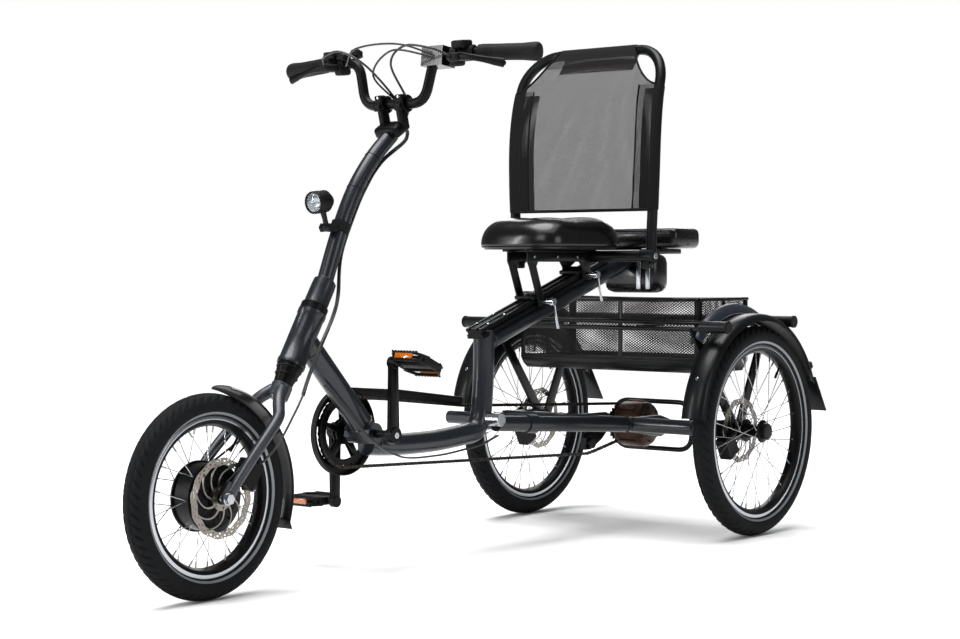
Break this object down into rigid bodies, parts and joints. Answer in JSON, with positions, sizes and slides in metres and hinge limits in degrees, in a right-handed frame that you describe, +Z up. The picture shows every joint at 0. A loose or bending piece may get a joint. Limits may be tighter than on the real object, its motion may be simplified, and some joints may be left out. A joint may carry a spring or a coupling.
{
  "type": "adult tricycle",
  "caption": "Three-wheeled adult cycle with a low frame, front hub motor, sliding saddle with a mesh backrest, and a basket between the rear wheels.",
  "frame": {"origin": "on the ground, under the middle of the bounding box", "axes": "+X forward, +Y to the rider's left, +Z up"},
  "size_m": [1.9759, 0.796, 1.1836],
  "materials": {
    "frame_paint": "gloss metallic anthracite powder coat",
    "fork_paint": "satin metallic grey paint",
    "cover_gloss": "gloss blue-grey moulded plastic",
    "black_paint": "satin black powder coat",
    "black_aluminium": "black anodised aluminium",
    "bright_aluminium": "machined aluminium",
    "rotor_steel": "ground stainless steel",
    "drive_steel": "oiled brown steel",
    "chain_steel": "dark oiled steel",
    "tyre_rubber": "matt black tyre rubber",
    "grip_rubber": "soft textured rubber",
    "cable_sheath": "smooth black cable sheath",
    "plastic_black": "fine-grained black moulding",
    "gloss_black": "gloss black housing",
    "saddle_vinyl": "smooth black synthetic leather",
    "mesh_fabric": "open black-grey woven mesh",
    "lamp_glass": "clear lens"
  },
  "bodies": {
    "frame": {"main_frame": "frame_paint", "seat_rail": "black_aluminium", "rear_frame": "frame_paint", "rear_carrier": "black_paint", "drive_guard_hoop": "black_paint", "rear_mudguard_left": "black_paint", "rear_mudguard_right": "black_paint", "wheel_cover_left": "cover_gloss", "wheel_cover_right": "cover_gloss", "basket": "plastic_black", "chain": "chain_steel", "chain_guard": "plastic_black", "chain_tensioner": "black_aluminium", "headset_lower": "black_aluminium", "frame_cables": "cable_sheath", "rear_caliper_left": "black_aluminium", "rear_caliper_right": "black_aluminium", "battery_dock": "plastic_black"},
    "steering": {"fork": "fork_paint", "steering_column": "frame_paint", "handlebar": "black_aluminium", "stem_clamp": "black_aluminium", "grip_left": "grip_rubber", "grip_right": "grip_rubber", "control_pod_left": "plastic_black", "control_pod_right": "plastic_black", "display": "gloss_black", "control_cables": "cable_sheath", "headlight_bracket": "plastic_black", "front_mudguard": "black_paint", "front_caliper": "black_aluminium"},
    "headlight": {"headlight": "plastic_black", "headlight_lens": "lamp_glass"},
    "front_wheel": {"front_tyre": "tyre_rubber", "front_rim": "bright_aluminium", "front_motor_hub": "black_aluminium", "front_rotor": "rotor_steel"},
    "rear_wheel_left": {"rear_tyre_left": "tyre_rubber", "rear_rim_left": "bright_aluminium", "rear_hub_left": "black_aluminium", "rear_rotor_left": "rotor_steel"},
    "rear_wheel_right": {"rear_tyre_right": "tyre_rubber", "rear_rim_right": "bright_aluminium", "rear_hub_right": "black_aluminium", "rear_rotor_right": "rotor_steel"},
    "crankset": {"crank_left": "black_aluminium", "crank_right": "black_aluminium", "chainring": "black_aluminium"},
    "pedal_left": {"pedal_left": "plastic_black"},
    "pedal_right": {"pedal_right": "plastic_black"},
    "differential": {"differential": "drive_steel"},
    "brake_lever_left": {"brake_lever_left": "black_aluminium"},
    "brake_lever_right": {"brake_lever_right": "black_aluminium"},
    "seat": {"seat_bracket": "black_paint", "saddle": "saddle_vinyl"},
    "backrest": {"backrest_frame": "black_paint", "backrest_panel": "mesh_fabric"},
    "seat_lever_front": {"seat_lever_front": "bright_aluminium"},
    "seat_lever_rear": {"seat_lever_rear": "bright_aluminium"},
    "battery": {"battery": "gloss_black"}
  },
  "joints": [
    {"name": "steering_turn", "type": "hinge", "parent": "frame", "child": "steering", "pos_m": [0.593, 0, 0.378], "axis": [-0.5168, 0, 0.8561], "range_deg": [-40, 40]},
    {"name": "headlight_tilt", "type": "hinge", "parent": "steering", "child": "headlight", "pos_m": [0.4425, 0, 0.731], "axis": [0, 1, 0], "range_deg": [-15, 15]},
    {"name": "front_wheel_spin", "type": "hinge", "parent": "steering", "child": "front_wheel", "pos_m": [0.7855, 0, 0.2025], "axis": [0, 1, 0], "continuous": true},
    {"name": "rear_wheel_left_spin", "type": "hinge", "parent": "frame", "child": "rear_wheel_left", "pos_m": [-0.6885, 0.345, 0.253], "axis": [0, 1, 0], "continuous": true},
    {"name": "rear_wheel_right_spin", "type": "hinge", "parent": "frame", "child": "rear_wheel_right", "pos_m": [-0.6885, -0.345, 0.253], "axis": [0, 1, 0], "continuous": true},
    {"name": "crank_spin", "type": "hinge", "parent": "frame", "child": "crankset", "pos_m": [0.3305, 0, 0.297], "axis": [0, 1, 0], "continuous": true},
    {"name": "pedal_left_spin", "type": "hinge", "parent": "crankset", "child": "pedal_left", "pos_m": [0.3305, 0.15, 0.449], "axis": [0, 1, 0], "continuous": true},
    {"name": "pedal_right_spin", "type": "hinge", "parent": "crankset", "child": "pedal_right", "pos_m": [0.3305, -0.15, 0.145], "axis": [0, 1, 0], "continuous": true},
    {"name": "differential_spin", "type": "hinge", "parent": "frame", "child": "differential", "pos_m": [-0.6885, 0, 0.253], "axis": [0, 1, 0], "continuous": true},
    {"name": "brake_lever_left_pull", "type": "hinge", "parent": "steering", "child": "brake_lever_left", "pos_m": [0.2475, 0.1945, 1.089], "axis": [0, 0, 1], "range_deg": [0, 12], "stiffness_Nm_per_rad": 1.2},
    {"name": "brake_lever_right_pull", "type": "hinge", "parent": "steering", "child": "brake_lever_right", "pos_m": [0.2475, -0.1945, 1.089], "axis": [0, 0, -1], "range_deg": [0, 12], "stiffness_Nm_per_rad": 1.2},
    {"name": "seat_slide", "type": "slide", "parent": "frame", "child": "seat", "axis": [-0.9488, 0, 0.3159], "range_m": [-0.12, 0.05]},
    {"name": "backrest_tilt", "type": "hinge", "parent": "seat", "child": "backrest", "pos_m": [-0.4545, 0, 0.675], "axis": [0, 1, 0], "range_deg": [-12, 12]},
    {"name": "seat_lever_front_swing", "type": "hinge", "parent": "seat", "child": "seat_lever_front", "pos_m": [-0.2575, 0.06, 0.568], "axis": [0, 1, 0], "range_deg": [-110, 0]},
    {"name": "seat_lever_rear_swing", "type": "hinge", "parent": "seat", "child": "seat_lever_rear", "pos_m": [-0.4325, 0.06, 0.63], "axis": [0, 1, 0], "range_deg": [-110, 0]},
    {"name": "battery_slide", "type": "slide", "parent": "frame", "child": "battery", "axis": [0, 1, 0], "range_m": [0, 0.12]}
  ],
  "couplings": [
    {"joint": "differential_spin", "follows": "crank_spin", "ratio": 1.7273}
  ]
}
